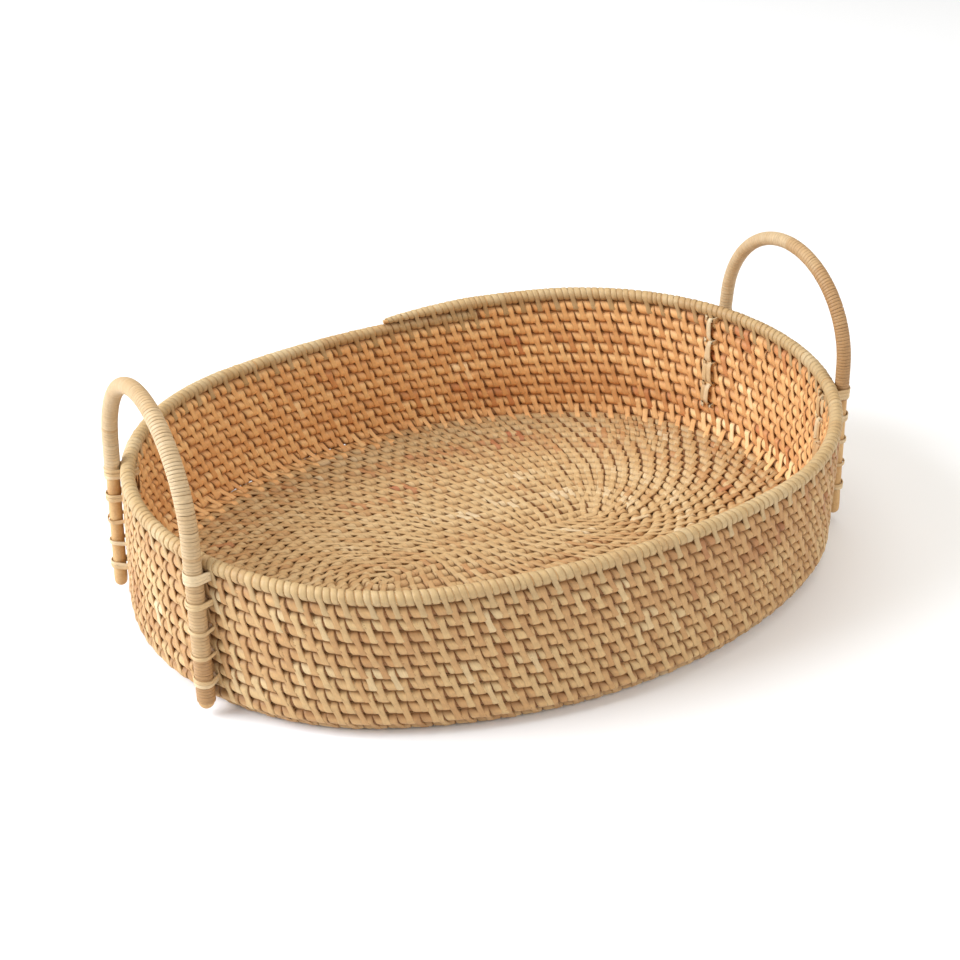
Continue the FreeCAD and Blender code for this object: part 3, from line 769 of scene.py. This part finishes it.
def lash_leg(side, end):
    """The five lashings of a leg, and the peel down the inside of the wall between them."""
    sign_x = 1 if side == "right" else -1
    sign_y = -1 if end == "front" else 1
    leg_radius = LEG_RADII[side][0 if end == "front" else 1]
    plane_x = sign_x * PLANE_X
    gaps = wall_gaps(plane_x, sign_y * leg_y(60.0))
    used = gaps[0::2][:5]
    ties = Strips()
    for gap, turns in zip(used, LASHING_TURNS):
        leg = np.array([plane_x, sign_y * leg_y(gap[2]), gap[2]])
        inward = unit(np.array([gap[0] - leg[0], gap[1] - leg[1], 0.0]))
        across = np.cross(UP, inward)
        reach = np.linalg.norm((gap - leg)[:2]) + THROUGH_WALL
        for number in range(turns):
            level = (number - (turns - 1) / 2) * TURN_PITCH
            tilt = rng.normal(0, 0.5)
            width = rng.uniform(2.3, 2.8)
            run_in = [(leg + inward * (share * reach) + UP * (level * part + lift), across * (y * leg_radius))
                      for share, y, lift, part in TO_LEG]
            points = [place + sideways for place, sideways in run_in]
            facing = [across] * len(run_in)
            for angle in np.linspace(0, math.pi, 13):
                normal = across * math.cos(angle) - inward * math.sin(angle)
                points.append(leg + normal * (leg_radius + 0.02) + UP * (level + tilt * math.cos(angle)))
                facing.append(normal)
            points += [place - sideways for place, sideways in reversed(run_in)]
            facing += [-across] * len(run_in)
            lay_strand(ties, points, facing, width, TIE_HEIGHT, rng.uniform(0.45, 0.95), 64)
    ties.make(f"{side}_{end}_ties", tie_peel, [f"{side}_{end}_lashings"])
    strand = Strips()
    inward = unit(np.array([used[0][0] - plane_x, used[0][1] - sign_y * leg_y(used[0][2]), 0.0]))
    across = np.cross(UP, inward)
    for low, high in zip(used[1:], used):
        for lane, tone in ((-1.7, rng.uniform(0.3, 0.9)), (1.5, rng.uniform(0.4, 0.95))):
            foot = (low + inward * FACE_GAP + across * (lane + rng.normal(0, 1.1))
                    - UP * rng.uniform(-0.6, 1.0))
            head = (high + inward * FACE_GAP + across * (lane * 0.5 + rng.normal(0, 1.2))
                    + UP * rng.uniform(-0.8, 0.8))
            bulge = inward * rng.uniform(2.4, 2.8)
            middle = foot * 0.5 + head * 0.5 + bulge * 1.05
            route = [foot, foot * 0.85 + head * 0.15 + bulge, middle, foot * 0.15 + head * 0.85 + bulge, head]
            lay_strand(strand, route, inward, rng.uniform(3.8, 4.8), 0.6, tone, 30)
    strand.make(f"{side}_{end}_inner_peel", tie_peel, [f"{side}_{end}_inner_strand"])


for side in ("left", "right"):
    for end in ("front", "rear"):
        lash_leg(side, end)

# ------------------------------------------------------------------ floor, light and camera
floor_mesh = bpy.data.meshes.new("floor")
FAR = 6                         # half the floor's side, in metres
floor_mesh.from_pydata([(-FAR, -FAR, 0), (FAR, -FAR, 0), (FAR, FAR, 0), (-FAR, FAR, 0)], [], [(0, 1, 2, 3)])
floor = bpy.data.objects.new("floor", floor_mesh)
bpy.context.scene.collection.objects.link(floor)
paint = Nodes("floor_paint")
paint.shader.inputs["Base Color"].default_value = (0.95, 0.95, 0.95, 1)
paint.shader.inputs["Roughness"].default_value = 0.9
floor_mesh.materials.append(paint.material)

WORLD_LIGHT = 0.36
world = bpy.data.worlds.new("studio")
world.use_nodes = True
world.node_tree.nodes["Background"].inputs["Color"].default_value = (1, 1, 1, 1)
world.node_tree.nodes["Background"].inputs["Strength"].default_value = WORLD_LIGHT
bpy.context.scene.world = world


def soft_light(name, place, target, size, power, colour=(1, 1, 1)):
    data = bpy.data.lights.new(name, "AREA")
    data.shape = "RECTANGLE"
    data.size, data.size_y = size
    data.energy = power
    data.color = colour
    lamp = bpy.data.objects.new(name, data)
    lamp.location = place
    lamp.rotation_euler = (Vector(target) - Vector(place)).to_track_quat("-Z", "Y").to_euler()
    bpy.context.scene.collection.objects.link(lamp)


soft_light("key", (-1.9, 0.6, 1.25), (0, 0, 0.05), (1.5, 1.5), 72, (0.93, 1.0, 1.1))
soft_light("front", (1.1, -1.9, 1.5), (0, 0, 0.05), (2.0, 1.6), 27)
soft_light("top", (0.2, 0.4, 2.2), (0, 0, 0.0), (2.2, 2.2), 26, (1.0, 0.94, 0.84))

bpy.context.scene.view_settings.view_transform = "Standard"

# The camera as solved from the photo's outline: it looks at TARGET from DISTANCE.
TARGET = Vector((0.003378, 0.019513, 0.045))
DISTANCE = 1.221905
AZIMUTH = math.radians(-119.484)
ELEVATION = math.radians(30.647)
ROLL = math.radians(0.745)
LENS, SENSOR = 70.349, 36.0     # mm
back = Vector((math.cos(AZIMUTH) * math.cos(ELEVATION), math.sin(AZIMUTH) * math.cos(ELEVATION),
               math.sin(ELEVATION)))
level = Vector((0, 0, 1)).cross(back).normalized()
above = back.cross(level)
right = level * math.cos(ROLL) + above * math.sin(ROLL)
above = back.cross(right)
camera_data = bpy.data.cameras.new("camera")
camera_data.lens = LENS
camera_data.sensor_width = SENSOR
camera_data.clip_start = 0.05
camera = bpy.data.objects.new("camera", camera_data)
camera.matrix_world = Matrix((
    (right.x, above.x, back.x, 0), (right.y, above.y, back.y, 0), (right.z, above.z, back.z, 0),
    (0, 0, 0, 1)))
camera.location = TARGET + back * DISTANCE
bpy.context.scene.collection.objects.link(camera)
bpy.context.scene.camera = camera
